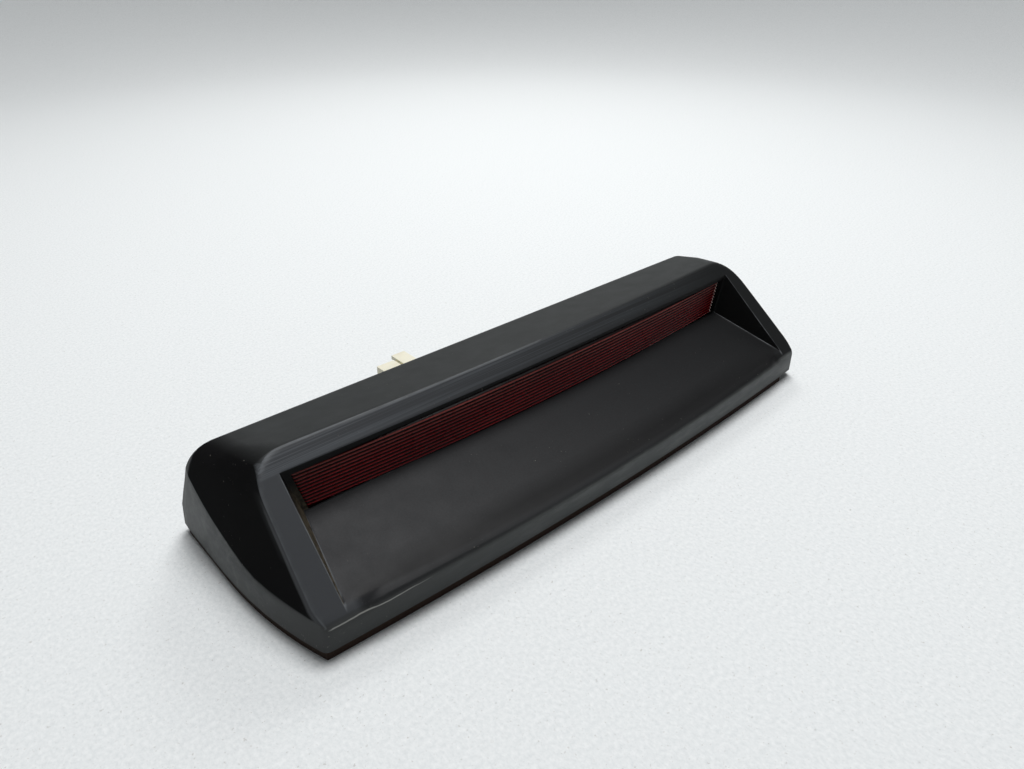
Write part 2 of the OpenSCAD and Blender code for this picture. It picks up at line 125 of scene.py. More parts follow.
class Nodes:
    """Short helpers for building one node material."""

    def __init__(self, name):
        self.mat = bpy.data.materials.new(name)
        self.mat.use_nodes = True
        self.tree = self.mat.node_tree
        self.shader = self.tree.nodes["Principled BSDF"]
        self.place = self.new("ShaderNodeNewGeometry").outputs["Position"]

    def new(self, kind, **settings):
        node = self.tree.nodes.new(kind)
        for key, value in settings.items():
            setattr(node, key, value)
        return node

    def link(self, source, target):
        self.tree.links.new(source, target)

    def noise(self, scale, detail=4, stretch=(1, 1, 1), rough=0.55):
        """Noise in metres; stretch scales each axis first."""
        mapping = self.new("ShaderNodeMapping")
        mapping.inputs["Scale"].default_value = stretch
        self.link(self.place, mapping.inputs["Vector"])
        node = self.new("ShaderNodeTexNoise")
        node.inputs["Scale"].default_value = scale
        node.inputs["Detail"].default_value = detail
        node.inputs["Roughness"].default_value = rough
        self.link(mapping.outputs["Vector"], node.inputs["Vector"])
        return node.outputs["Fac"]

    def ramp(self, value, low, high, to_low=0.0, to_high=1.0):
        """Maps value from low..high to to_low..to_high, clamped."""
        node = self.new("ShaderNodeMapRange")
        for key, number in (("From Min", low), ("From Max", high), ("To Min", to_low), ("To Max", to_high)):
            node.inputs[key].default_value = number
        self.link(value, node.inputs["Value"])
        return node.outputs["Result"]

    def mix(self, factor, a, b):
        """Colour mix; a and b are colours or sockets, factor a number or a socket."""
        node = self.new("ShaderNodeMix", data_type="RGBA")
        for socket, value in ((node.inputs[0], factor), (node.inputs[6], a), (node.inputs[7], b)):
            if isinstance(value, bpy.types.NodeSocket):
                self.link(value, socket)
            else:
                socket.default_value = (*value, 1) if isinstance(value, tuple) else value
        return node.outputs[2]

    def maths(self, operation, a, b):
        """Two numbers or sockets through one Math node."""
        node = self.new("ShaderNodeMath", operation=operation)
        for socket, value in zip(node.inputs, (a, b)):
            if isinstance(value, bpy.types.NodeSocket):
                self.link(value, socket)
            else:
                socket.default_value = value
        return node.outputs[0]

    def zone(self, name):
        """How far a point belongs to one of the mesh's zones, 0 to 1."""
        return self.new("ShaderNodeAttribute", attribute_name=name).outputs["Fac"]

    def axis(self, index):
        """The point's x, y or z in metres."""
        split = self.new("ShaderNodeSeparateXYZ")
        self.link(self.place, split.inputs[0])
        return split.outputs[index]

    def bump(self, height, distance, strength=1.0, under=None):
        node = self.new("ShaderNodeBump")
        node.inputs["Distance"].default_value = distance
        node.inputs["Strength"].default_value = strength
        self.link(height, node.inputs["Height"])
        if under is not None:
            self.link(under, node.inputs["Normal"])
        return node.outputs["Normal"]

    def set(self, **values):
        """Links or sets the shader's sockets, and gives the finished material."""
        names = {"colour": "Base Color", "rough": "Roughness", "normal": "Normal", "metal": "Metallic",
                 "ior": "IOR", "glass": "Transmission Weight", "gloss": "Specular IOR Level"}
        for key, value in values.items():
            socket = self.shader.inputs[names[key]]
            if isinstance(value, bpy.types.NodeSocket):
                self.link(value, socket)
            else:
                socket.default_value = (*value, 1) if isinstance(value, tuple) else value
        return self.mat


def moulded(name, dark, light):
    """Moulded plastic: a fine grain and slight blotches."""
    n = Nodes(name)
    blotch = n.ramp(n.noise(45, 5), 0.35, 0.65)
    fine = n.noise(900, 3)
    return n.set(
        colour=n.mix(blotch, dark, light),
        rough=n.ramp(n.noise(160, 4), 0.3, 0.7, 0.45, 0.6),
        normal=n.bump(fine, GRAIN_DEPTH, 0.5),
    )


# Linear colours of the hood. Each pair is (dark, pale), or (at the right end, at the left end) for the
# bezel and the shelf, which are painted paler towards the left, where their plastic catches more light.
ROOF_TONES = (0.0185, 0.0203, 0.0206), (0.0230, 0.0252, 0.0255)
# painted shade: the end faces are painted near-black, for the little light they get
END_SHADE_TONES = (0.0008, 0.0008, 0.0010), (0.0018, 0.0018, 0.0022)
# painted reflection: the bezel is painted pale grey, plain and streaked, for the overhead light it reflects
BEZEL_PLAIN = (0.011, 0.0115, 0.012), (0.050, 0.053, 0.058)
BEZEL_STREAK = (0.012, 0.0135, 0.014), (0.090, 0.098, 0.108)
SHELF_DARK = (0.006, 0.0063, 0.007), (0.018, 0.0185, 0.0200)
SHELF_PALE = (0.011, 0.0115, 0.0125), (0.030, 0.0305, 0.0330)
# painted reflection: the skirt's sides are painted pale for the bright floor they reflect, its front darker
SKIRT_TONES = (0.080, 0.085, 0.085), (0.132, 0.138, 0.137)
SKIRT_FRONT = (0.048, 0.050, 0.050)
# painted shade: the cheeks and the wall round the lens are painted near-black, for the shade in the recess
CHEEK_SHADE = (0.0012, 0.0012, 0.0014)
# partly dust, partly painted reflection: the left cheek is painted tan low down
CHEEK_TAN = (0.085, 0.070, 0.046)
# painted highlight along the recess's edges and the bezel's left outer edge
EDGE_HIGHLIGHT = (0.17, 0.18, 0.19)
LIP_SHADE = (0.004, 0.004, 0.0045)
DUST = (0.22, 0.21, 0.18)
CHIP = (0.17, 0.165, 0.15)
SCRATCH_MARK = (0.30, 0.30, 0.28)

# Where the marks lie on the hood, in metres; each pair is (mark begins, mark is full)
# painted light: x over which the bezel and the shelf go from their darker right end to their paler left end
TO_LEFT = (0.11, -0.11)         # x, from the right end's tone to the left end's
STREAKS_Z = (0.0425, 0.0435)    # the streaks are only on the bezel's top band
TAN_Z = (0.038, 0.028)          # the left cheek is tan low down
TAN_X = (0.0, -0.05)
# painted reflection: the skirt is painted paler away from its darker front and left corner
SKIRT_Y = (-0.032, 0.008)       # the skirt gets paler away from the front
SKIRT_X = (-0.128, 0.030)       # and from the left corner
LENGTHWISE = (0.04, 1, 1)       # stretch of noise that makes marks along the hood
MARK_LOW, MARK_HIGH = (0.01225, 0.01245), (0.0129, 0.0127)      # the scratch's lower and upper edge
MARK_Y = (-0.030, -0.034)
MARK_RIGHT, MARK_LEFT = (-0.088, -0.100), (-0.1235, -0.1220)


def hood_plastic():
    """Black moulded plastic, painted with light and shade: streaked bezel painted pale as lit, dusty shelf,
    skirt painted paler for the floor it reflects, ends painted near-black as shaded, painted highlights
    along the edges.
    """
    n = Nodes("hood_plastic")
    x, y, z = (n.axis(i) for i in range(3))
    blotch = n.ramp(n.noise(38, 5), 0.3, 0.7)
    # painted light: the bezel and the shelf are painted paler towards the left
    to_left = n.ramp(x, *TO_LEFT)

    # What each zone is made like, with the light and shade painted on it
    streaks = n.maths("MULTIPLY", n.ramp(n.noise(1500, 3, (0.006, 1, 1)), 0.42, 0.62), n.ramp(z, *STREAKS_Z))
    # painted reflection: the bezel's pale grey stands in for the overhead light; the streaks are its own
    # marks
    bezel = n.mix(streaks, n.mix(to_left, *BEZEL_PLAIN), n.mix(to_left, *BEZEL_STREAK))
    shelf = n.mix(n.noise(1500, 2), n.mix(to_left, *SHELF_DARK), n.mix(to_left, *SHELF_PALE))
    scuff = n.ramp(n.noise(240, 6, (0.25, 1, 1), 0.7), 0.45, 0.75)
    # painted reflection: pale sides, darker front and left corner
    away = n.maths("MAXIMUM", n.ramp(y, *SKIRT_Y), n.ramp(x, *SKIRT_X))
    skirt = n.mix(away, SKIRT_FRONT, n.mix(scuff, *SKIRT_TONES))
    # partly dust, partly painted reflection: tan low on the left cheek
    tan = n.maths("MULTIPLY", n.ramp(n.noise(500, 4), 0.4, 0.6, 0.3, 1.0), n.ramp(z, *TAN_Z))
    tan = n.maths("MULTIPLY", tan, n.ramp(x, *TAN_X))
    base = n.mix(blotch, *ROOF_TONES)
    for zone, colour in (
        ("shelf", shelf),
        # painted shade: the end faces are near-black
        ("end", n.mix(blotch, *END_SHADE_TONES)),
        ("bezel", bezel),
        ("skirt", skirt),
        ("cheek", n.mix(tan, CHEEK_SHADE, CHEEK_TAN)),
    ):
        base = n.mix(n.zone(zone), base, colour)

    # Painted highlights and painted shade, then wear and dirt, on top
    # painted highlight along the edges, broken up by noise
    worn = n.maths("MULTIPLY", n.zone("edge"), n.ramp(n.noise(150, 4), 0.3, 0.6, 0.25, 0.9))
    base = n.mix(worn, base, EDGE_HIGHLIGHT)
    base = n.mix(n.maths("MULTIPLY", n.zone("lip"), 0.75), base, LIP_SHADE)
    dust = n.ramp(n.noise(900, 2, rough=0.8), 0.70, 0.76, 0, 0.6)
    base = n.mix(n.maths("MULTIPLY", dust, n.ramp(n.noise(60, 3), 0.5, 0.62)), base, DUST)
    chips = n.ramp(n.noise(650, 4, rough=0.75), 0.62, 0.70)
    low = n.maths("MULTIPLY", n.zone("lip"), n.ramp(n.noise(35, 2), 0.62, 0.72, 0, 0.6))
    low = n.maths("MAXIMUM", low, n.zone("worn_corner"))
    base = n.mix(n.maths("MULTIPLY", chips, low), base, CHIP)
    height = n.maths("ADD", z, n.maths("MULTIPLY", n.noise(60, 3), 0.002))
    mark = n.maths("MULTIPLY", n.ramp(height, *MARK_LOW), n.ramp(height, *MARK_HIGH))
    for limit in (n.zone("skirt"), n.ramp(y, *MARK_Y), n.ramp(x, *MARK_RIGHT), n.ramp(x, *MARK_LEFT)):
        mark = n.maths("MULTIPLY", mark, limit)
    base = n.mix(mark, base, SCRATCH_MARK)
    grain = n.bump(n.noise(1300, 3), GRAIN_DEPTH, 0.55)
    return n.set(
        colour=base,
        rough=n.maths("MAXIMUM", n.ramp(n.noise(120, 5), 0.3, 0.7, 0.47, 0.54), n.zone("end")),
        normal=n.bump(n.noise(1100, 2, LENGTHWISE), 0.5 * GRAIN_DEPTH, 0.35, grain),
        gloss=0.14,
    )


RIB_LOW = (0.16, 0.004, 0.007), (0.27, 0.010, 0.013)        # dark and pale red of the lower ribs
# painted reflection: the top ribs are painted paler and browner
RIB_TOP_REFLECTION = (0.17, 0.034, 0.028), (0.25, 0.058, 0.050)       # and of the top ones
# painted shade: black in the grooves between the ribs
GROOVE_SHADE = (0.0035, 0.0006, 0.0006)
LENS_WORN = (0.75, 0.62, 0.58)
LENS_WORN_X = (0.02, 0.10)      # the lens's edge is worn only towards the right


def lens_red():
    """Deep red acrylic: bright along each rib, painted shade black in the grooves, painted reflection
    browner towards the top.
    """
    n = Nodes("lens_red")
    haze = n.ramp(n.noise(70, 4, (0.3, 1, 1)), 0.35, 0.7)
    rib = n.mix(n.ramp(n.zone("height"), 0.55, 1.0), n.mix(haze, *RIB_LOW), n.mix(haze, *RIB_TOP_REFLECTION))
    colour = n.mix(n.ramp(n.zone("groove"), 0.10, 0.55), rib, GROOVE_SHADE)
    chips = n.ramp(n.noise(900, 3, (1, 1, 0.4)), 0.28, 0.48)
    worn = n.maths("MULTIPLY", n.maths("MULTIPLY", n.zone("edge"), chips), n.ramp(n.axis(0), *LENS_WORN_X))
    return n.set(
        colour=n.mix(worn, colour, LENS_WORN),
        rough=n.ramp(n.noise(300, 3), 0.3, 0.7, 0.25, 0.34),
        normal=n.bump(n.noise(500, 2), 0.000005, 0.2),
        gloss=0.22,
    )


def metal(name, dark, light, rough=(0.2, 0.35), stretch=(1, 1, 1)):
    """Bare or plated metal with faint stains; stretch gives it a drawing direction."""
    n = Nodes(name)
    return n.set(
        colour=n.mix(n.noise(120, 4, stretch), dark, light),
        rough=n.ramp(n.noise(400, 3, stretch), 0.3, 0.7, *rough),
        normal=n.bump(n.noise(900, 2, stretch), 0.00001, 0.3),
        metal=1.0,
    )


def foam(name, dark, light):
    """Foam or felt: open, matt and slightly fibrous."""
    n = Nodes(name)
    cells = n.noise(1600, 4, rough=0.7)
    return n.set(
        colour=n.mix(cells, dark, light),
        rough=0.95,
        normal=n.bump(cells, 0.0002, 0.8),
        gloss=0.2,
    )


def glass():
    """Clear bulb glass, slightly uneven."""
    n = Nodes("bulb_glass")
    return n.set(
        colour=n.mix(n.noise(80, 2), (0.94, 0.96, 0.96), (0.98, 0.99, 0.99)),
        rough=n.ramp(n.noise(200, 3), 0.3, 0.7, 0.0, 0.04),
        glass=1.0,
        ior=1.5,
    )


def nylon():
    """Cream nylon, satin, slightly translucent and dirty in its corners."""
    n = Nodes("carrier_nylon")
    stain = n.ramp(n.noise(90, 5), 0.45, 0.75, 0, 0.5)
    n.shader.inputs["Subsurface Weight"].default_value = 0.12
    n.shader.inputs["Subsurface Radius"].default_value = (0.002, 0.0015, 0.001)
    return n.set(
        colour=n.mix(stain, (0.80, 0.77, 0.62), (0.58, 0.52, 0.38)),
        rough=n.ramp(n.noise(300, 3), 0.3, 0.7, 0.38, 0.5),
        normal=n.bump(n.noise(1100, 2), 0.00002, 0.4),
    )


def paper():
    """The floor: pale card with faint fibres."""
    n = Nodes("floor_card")
    fibres = n.noise(900, 4, (1, 0.7, 1), 0.7)
    card = n.mix(n.ramp(fibres, 0.32, 0.72), (0.75, 0.78, 0.79), (0.91, 0.93, 0.935))
    specks = n.ramp(n.noise(750, 3, rough=0.75), 0.63, 0.69, 0, 0.55)
    return n.set(
        colour=n.mix(specks, card, (0.42, 0.40, 0.37)),
        rough=0.85,
        normal=n.bump(fibres, 0.00005, 0.3),
    )


MATERIALS = {
    "hood_plastic": hood_plastic(),
    "lens_red": lens_red(),
    "seal_butyl": foam("seal_butyl", (0.50, 0.48, 0.42), (0.62, 0.60, 0.54)),
    "body_plastic": moulded("body_plastic", (0.020, 0.020, 0.021), (0.032, 0.032, 0.033)),
    "reflector_plate": metal("reflector_plate", (0.72, 0.73, 0.75), (0.84, 0.85, 0.87), (0.08, 0.18)),
    "screw_steel": metal("screw_steel", (0.48, 0.48, 0.49), (0.62, 0.62, 0.63)),
    "gasket_foam": foam("gasket_foam", (0.03, 0.03, 0.03), (0.06, 0.06, 0.06)),
    "carrier_nylon": nylon(),
    "brass": metal("brass", (0.60, 0.45, 0.20), (0.74, 0.57, 0.29), stretch=(0.1, 1, 1)),
    "bulb_glass": glass(),
    "filament_wire": metal("filament_wire", (0.45, 0.45, 0.46), (0.60, 0.60, 0.61)),
    "base_plastic": moulded("base_plastic", (0.024, 0.024, 0.025), (0.040, 0.040, 0.041)),
    "pad_foam": foam("pad_foam", (0.014, 0.007, 0.005), (0.040, 0.024, 0.017)),
}

NODE_SLOTS = {
    "lens_seal": "seal_butyl", "lamp_body": "body_plastic", "reflector": "reflector_plate",
    "lamp_screws": "screw_steel", "carrier_gasket": "gasket_foam", "bulb_carrier": "carrier_nylon",
    "latch_left": "carrier_nylon", "latch_right": "carrier_nylon", "busbar_live": "brass",
    "busbar_ground": "brass", "base_plate": "base_plastic", "base_pad": "pad_foam",
    "base_screws": "screw_steel", "insert_left": "brass", "insert_right": "brass",
    **{f"bulb_{i}": "bulb_glass" for i in range(1, 5)},
    **{f"filament_{i}": "filament_wire" for i in range(1, 5)},
}


def dress_cad_nodes():
    """Gives the CAD nodes that stay their materials."""
    for name, slot in NODE_SLOTS.items():
        for material_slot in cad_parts[name].material_slots:
            material_slot.material = MATERIALS[slot]


def piece(name, mesh, slot, body, *replaced):
    """Links a mesh as a piece with its material, its body and the CAD nodes it stands for."""
    obj = bpy.data.objects.new(name, mesh)
    bpy.context.scene.collection.objects.link(obj)
    mesh.materials.append(MATERIALS[slot])
    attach(obj, body)
    if replaced:
        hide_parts(*replaced)
    return obj


def finished_mesh(bm, name, crease=None):
    """Turns a bmesh into a smooth mesh with its normals in order; edges sharper than crease stay sharp."""
    bmesh.ops.recalc_face_normals(bm, faces=bm.faces)
    mesh = bpy.data.meshes.new(name)
    bm.to_mesh(mesh)
    bm.free()
    mesh.shade_smooth()
    if crease is not None:
        mesh.set_sharp_from_angle(angle=crease)
    return mesh


def bridge(bm, a, b):
    """A band of quads between two closed rings of as many points."""
    for i in range(len(a)):
        j = (i + 1) % len(a)
        bm.faces.new([a[i], a[j], b[j], b[i]])


# ---------------------------------------------------------------- the hood's surface, in millimetres

HOOD_LOW, HOOD_HIGH = box_mm("hood")
HALF_W = HOOD_HIGH[0]
REAR_Y = HOOD_HIGH[1]
SKIRT_Z = HOOD_LOW[2]
SKIRT_TOP = SKIRT_Z + 8.5
WALL = 2.2

# The front and the sides of the skirt
LEAN = 0.3                      # the skirt's top stands forward of its foot by this at the corners
FOOT_BOW = 4.1                  # forward bow of the front edge at the foot
TOP_BOW = 5.1                   # and at the lip
FRONT_Y = HOOD_LOW[1] + TOP_BOW + LEAN
TAPER = 8                       # the sides come in by this towards the front corners
TAPER_Y, TAPER_LENGTH, TAPER_POWER = 15, 55, 2.3    # from where, over what length and how suddenly
FRONT_HALF = HALF_W - TAPER     # half width at the front corners
WALL_LEAN = 0.09                # the skirt's sides lean in by this for each millimetre up

# The end faces: x = END_X + END_ALONG * y - END_UP * z, with a flare at the foot
END_X, END_ALONG, END_UP = 134.0, 0.1263, 0.2576
STEP_Z = 12.5                   # height of the soft step above the skirt, at the sides
STEP_RISE_Y = -14               # the step is level forward of here, and rises behind it
FLARE_FADE = 5                  # the flare above the step fades over this height

# Bezel, roof and rear wall
BEZEL_TILT = math.radians(39.6)
BEZEL_SLOPE = math.tan(BEZEL_TILT)
BEZEL_NORMAL = (-math.sin(BEZEL_TILT), math.cos(BEZEL_TILT))
ROOF_TILT = math.radians(15)
ROOF_SLOPE = math.tan(ROOF_TILT)
ROOF_NORMAL = (math.sin(ROOF_TILT), math.cos(ROOF_TILT))
REAR_LEAN = math.radians(22.8)
REAR_NORMAL = (math.cos(REAR_LEAN), math.sin(REAR_LEAN))
CREASE_Y, CREASE_Z = 2.1, SKIRT_Z + 45      # the crease between bezel and roof, at its ends
CREASE_DROP = 1.3               # the crease sags by this in the middle
CREASE_HALF = 118               # half width that it sags over
CREASE_PULL = 0.915             # and it comes forward by this for each millimetre that it sags
SAG_END_Y, SAG_FADE = 30, 28    # the roof's sag ends here, and fades over this length
CORNER_R = 11.0                 # the bezel's outer top corners, in its own plane

# The recess: shelf, cheeks and the wall round the lens
SHELF_SLOPE = math.tan(math.radians(17.1))
SHELF_Y, SHELF_Z = -4.9, 25.0
CHEEK_X, CHEEK_ALONG, CHEEK_UP = 109.4, 0.30, 0.306     # x at SHELF_Y and SHELF_Z, and its change
BACK_Y = -4.0
BACK_BOW = 1.3                  # the wall round the lens bows forward by this in the middle
OPEN_HALF = 114.6               # half width of the opening along its top edge
LIP_BOW = 5.3                   # forward bow of the shelf's front edge
LIP_END_X, LIP_END_SLOPE = 105, 0.3     # beyond this x the lip falls away at this slope

WINDOW_HALF = 96.0              # the service window in the rear wall
WINDOW_LOW, WINDOW_HIGH = 19.4, 36.8
LENS_LOW, LENS_TOP = 25.6, 40.2
LENS_HALF = 107.2
LENS_FLARE = 0.247
LENS_GAP = 0.3

# Blend widths between the faces, in millimetres
FINE_BLEND = 0.5                # inside the recess, and along the soft lines of the rear and the lip
OPENING_BLEND = 0.35            # the recess's rim
STEP_BLEND = 0.15               # end face into skirt
BEZEL_BLEND = 1.1               # bezel into roof and end faces
FRONT_BLEND = 1.7               # skirt's front into bezel and sides
REAR_BLEND, REAR_BLEND_Z, REAR_BLEND_RATE = (0.8, 2.2), 14, 0.12    # grows with height
ROOF_BLEND, ROOF_BLEND_RATE = (6.8, 13.5), 0.4      # roof into end faces; it narrows towards the rear

# What turns each face's plain offset into about a distance
SHELF_COS = 0.956
CHEEK_STEEP, END_STEEP, SIDE_STEEP = 1.088, 1.04, 1.01

# Newton steps that bring grid points onto the surface
SETTLE_STEPS = 10
SLOPE_STEP = 0.01
LEAST_SLOPE = 0.2
LONGEST_MOVE = 1.0


def smax(a, b, k):
    """The greater of two fields, blended smoothly over k millimetres."""
    h = np.maximum(k - np.abs(a - b), 0) / k
    return np.maximum(a, b) + h * h * k / 4


def smin(a, b, k):
    """The lesser of two fields, blended in the same way."""
    return -smax(-a, -b, k)


def shelf_z(y):
    """The sloping shelf."""
    return SHELF_Z + (y - SHELF_Y) * SHELF_SLOPE


def cheek_x(y, z):
    """The recess's slanted end."""
    return CHEEK_X - CHEEK_ALONG * (y - SHELF_Y) + CHEEK_UP * (z - SHELF_Z)


def back_y(x):
    """The wall round the lens."""
    return BACK_Y - BACK_BOW * np.maximum(0, 1 - (x / OPEN_HALF) ** 2)


def bezel_y(z):
    """The bezel's plane."""
    return CREASE_Y + (z - CREASE_Z) / BEZEL_SLOPE


def sag(x):
    """How far the crease lies below its ends."""
    return CREASE_DROP * np.maximum(0, 1 - (x / CREASE_HALF) ** 2)


def roof_sag(x, y):
    """How far the roof lies below its plane: the crease's sag, fading out towards the rear."""
    return sag(x) * np.clip((SAG_END_Y - y) / SAG_FADE, 0, 1)


def side_x(y):
    """The skirt's side at its foot, which tapers towards the front."""
    return HALF_W - TAPER * np.maximum(0, (TAPER_Y - y) / TAPER_LENGTH) ** TAPER_POWER


def wall_x(y, z):
    """The skirt's side, which leans in a little on its way up."""
    return side_x(y) - WALL_LEAN * (z - SKIRT_Z)


def end_plane(y, z):
    """The end face without its flare."""
    return END_X + END_ALONG * y - END_UP * z


def end_x(y, z):
    """The slanted end face, which flares out to the skirt at its foot."""
    flare = np.maximum(0, wall_x(y, STEP_Z) - end_plane(y, STEP_Z))
    return end_plane(y, z) + flare * np.exp(-(z - STEP_Z) / FLARE_FADE)


def outer_x(y, z):
    """The hood's side: the skirt's below the step, the end face's above it."""
    return np.minimum(wall_x(y, z), end_x(y, z))


def front_y(x, z):
    """The skirt's bowed front."""
    t = np.clip((z - SKIRT_Z) / (SKIRT_TOP - SKIRT_Z), 0, 1.1)
    bow = FOOT_BOW + (TOP_BOW - FOOT_BOW) * t
    return FRONT_Y - LEAN * t - bow * (1 - (x / FRONT_HALF) ** 2)


def rear_y(z):
    """The rear wall, upright along the skirt and leaning forwards above it."""
    return REAR_Y - np.maximum(0, z - SKIRT_TOP) * math.tan(REAR_LEAN)


def crown(x, y, z):
    """The field of the roof and the two ends, blended into each other."""
    end = (x - end_x(y, z)) / END_STEEP
    side = smax(end, (x - wall_x(y, z)) / SIDE_STEEP, STEP_BLEND)
    roof_z = CREASE_Z - roof_sag(x, y)
    roof = (y - CREASE_Y) * ROOF_NORMAL[0] + (z - roof_z) * ROOF_NORMAL[1]
    return smax(side, roof, np.clip(ROOF_BLEND[1] - ROOF_BLEND_RATE * y, *ROOF_BLEND))


def hood_field(p):
    """Below zero inside the hood's solid form, above zero outside; about a distance in millimetres."""
    x, y, z = np.abs(p[:, 0]), p[:, 1], p[:, 2]
    rear = smax(y - REAR_Y, (y - REAR_Y) * REAR_NORMAL[0] + (z - SKIRT_TOP) * REAR_NORMAL[1], FINE_BLEND)
    rear_blend = np.clip(REAR_BLEND[0] + (z - REAR_BLEND_Z) * REAR_BLEND_RATE, *REAR_BLEND)
    form = smax(crown(x, y, z), rear, rear_blend)
    bezel = (y - CREASE_Y) * BEZEL_NORMAL[0] + (z - CREASE_Z) * BEZEL_NORMAL[1]
    lip = (z - shelf_z(y) + LIP_END_SLOPE * np.maximum(0, x - LIP_END_X)) * SHELF_COS
    form = smax(form, smin(bezel, lip, FINE_BLEND), BEZEL_BLEND)
    form = smax(form, front_y(x, z) - y, FRONT_BLEND)
    shelf = (shelf_z(y) - z) * SHELF_COS
    recess = smax(shelf, y - back_y(x), FINE_BLEND)
    recess = smax(recess, (x - cheek_x(y, z)) / CHEEK_STEEP, FINE_BLEND)
    return smax(form, -recess, OPENING_BLEND)


def hood_slope(p):
    """Gradient of the hood's field at each point."""
    return np.stack([
        (hood_field(p + step) - hood_field(p - step)) / (2 * SLOPE_STEP) for step in SLOPE_STEP * np.eye(3)
    ], axis=1)


def settle(p, level, flat):
    """Moves points onto the surface where the field equals level; those in flat keep their height."""
    p = p.copy()
    for _ in range(SETTLE_STEPS):
        g = hood_slope(p)
        g[flat, 2] = 0
        move = ((hood_field(p) - level) / np.maximum((g * g).sum(1), LEAST_SLOPE))[:, None] * g
        length = np.linalg.norm(move, axis=1, keepdims=True)
        p -= move * np.minimum(1, LONGEST_MOVE / np.maximum(length, 1e-9))
    return p


# Rows of the grid, as heights on the front corner and on the rear corner
LOW_FRONT = [SKIRT_Z, 5, 7.5, 9.5, 11, 12, 12.9]
LOW_REAR = [SKIRT_Z, 7, SKIRT_TOP, WINDOW_LOW, 24, 28, 31]
LIP = 14.9                      # where the opening starts on the side bands
SHELF_END = shelf_z(BACK_Y)
OPEN_TOP = CREASE_Z + (BACK_Y - CREASE_Y) * BEZEL_SLOPE
LENS_ROW = LENS_TOP + LENS_GAP
UP_FRONT = [13.8, LIP, 15.25, 16.1, 18, 20, 22.2, 24.2, 25.0, SHELF_END, 25.7, 26.6, 29, 31.5, 34, 36.5,
            38.8, 40.0, LENS_ROW, 41.3, 42.1, 42.65, OPEN_TOP, 43.3, 44, 45.2, 46.4, 47.3, CREASE_Z]
FRONT_ROWS = np.array(LOW_FRONT + UP_FRONT)
TOP_Y = 31.6                    # where the roof and the rear wall would meet
TOP_Z = CREASE_Z - (TOP_Y - CREASE_Y) * ROOF_SLOPE
WINDOW_STEPS = 12
REAR_ROWS = np.concatenate([
    LOW_REAR,
    np.linspace(LOW_REAR[-1], WINDOW_HIGH, WINDOW_STEPS + 1)[1:],
    np.linspace(WINDOW_HIGH, TOP_Z, len(UP_FRONT) - WINDOW_STEPS + 1)[1:],
])
ROW_STEP = len(LOW_FRONT) - 1
ROW_LIP = len(LOW_FRONT) + UP_FRONT.index(LIP)
ROW_SHELF = len(LOW_FRONT) + UP_FRONT.index(SHELF_END)
ROW_LENS = len(LOW_FRONT) + UP_FRONT.index(LENS_ROW)
ROW_OPEN = len(LOW_FRONT) + UP_FRONT.index(OPEN_TOP)
ROW_TOP = len(FRONT_ROWS) - 1

# Columns: 0..1 runs to the lens window's end, 1..2 to the opening's edge, 2..3 to the outer edge
WINDOW_COL = 24
COLUMNS = np.concatenate([
    np.linspace(0, WINDOW_HALF / (LENS_HALF + LENS_GAP), WINDOW_COL + 1),
    [0.93, 0.965, 1],
    1 + np.array([0.35, 0.7, 0.9, 1]),
    2 + np.array([0.04, 0.12, 0.3, 0.5, 0.7, 0.82, 0.92, 1]),
])
COL_LENS = int(np.argmax(COLUMNS >= 1))
COL_OPEN = int(np.argmax(COLUMNS >= 2))
ALONG_ROOF = np.array([0, 0.35, 0.9, 1.8, 3.5, 6, 9, 12, 15, 18, 20.5, 22.5, 24.3, 25.8, 26.8, 27.6, 28.2,
                       TOP_Y - CREASE_Y]) / (TOP_Y - CREASE_Y)
ACROSS_CHEEK = np.array([0, 0.02, 0.06, 0.15, 0.3, 0.5, 0.7, 0.85, 0.94, 0.98, 1])


def columns_x(lens, opening, outer):
    """x of every column, given where the lens window, the opening and the outer edge lie."""
    return np.interp(COLUMNS, [0, 1, 2, 3], [0, lens, opening, outer])


def points(x, y, z):
    """An array of points, with the coordinates stretched to one shape."""
    return np.stack(np.broadcast_arrays(x, y, z), axis=-1).astype(float)


def between(a, b, t):
    return a + (b - a) * t


def lens_x(z):
    """The lens window's end at this height."""
    return LENS_HALF + LENS_GAP + (z - LENS_LOW) * LENS_FLARE


def front_corner(row):
    """Where the front meets the side; above the step this is the bezel's outer edge."""
    z = FRONT_ROWS[row]
    y = front_y(FRONT_HALF, z) if z < LOW_FRONT[-1] else bezel_y(z)
    return points(outer_x(y, z), y, z)


def rear_corner(row):
    """Where the rear wall meets the side."""
    z = REAR_ROWS[row]
    y = rear_y(z)
    return points(outer_x(y, z), y, z)


def opening_edge(row):
    """The opening's side edge on the bezel, straight from the lip to the top."""
    z = np.clip(FRONT_ROWS[row], LIP, OPEN_TOP)
    return points(cheek_x(bezel_y(z), z), bezel_y(z), z)


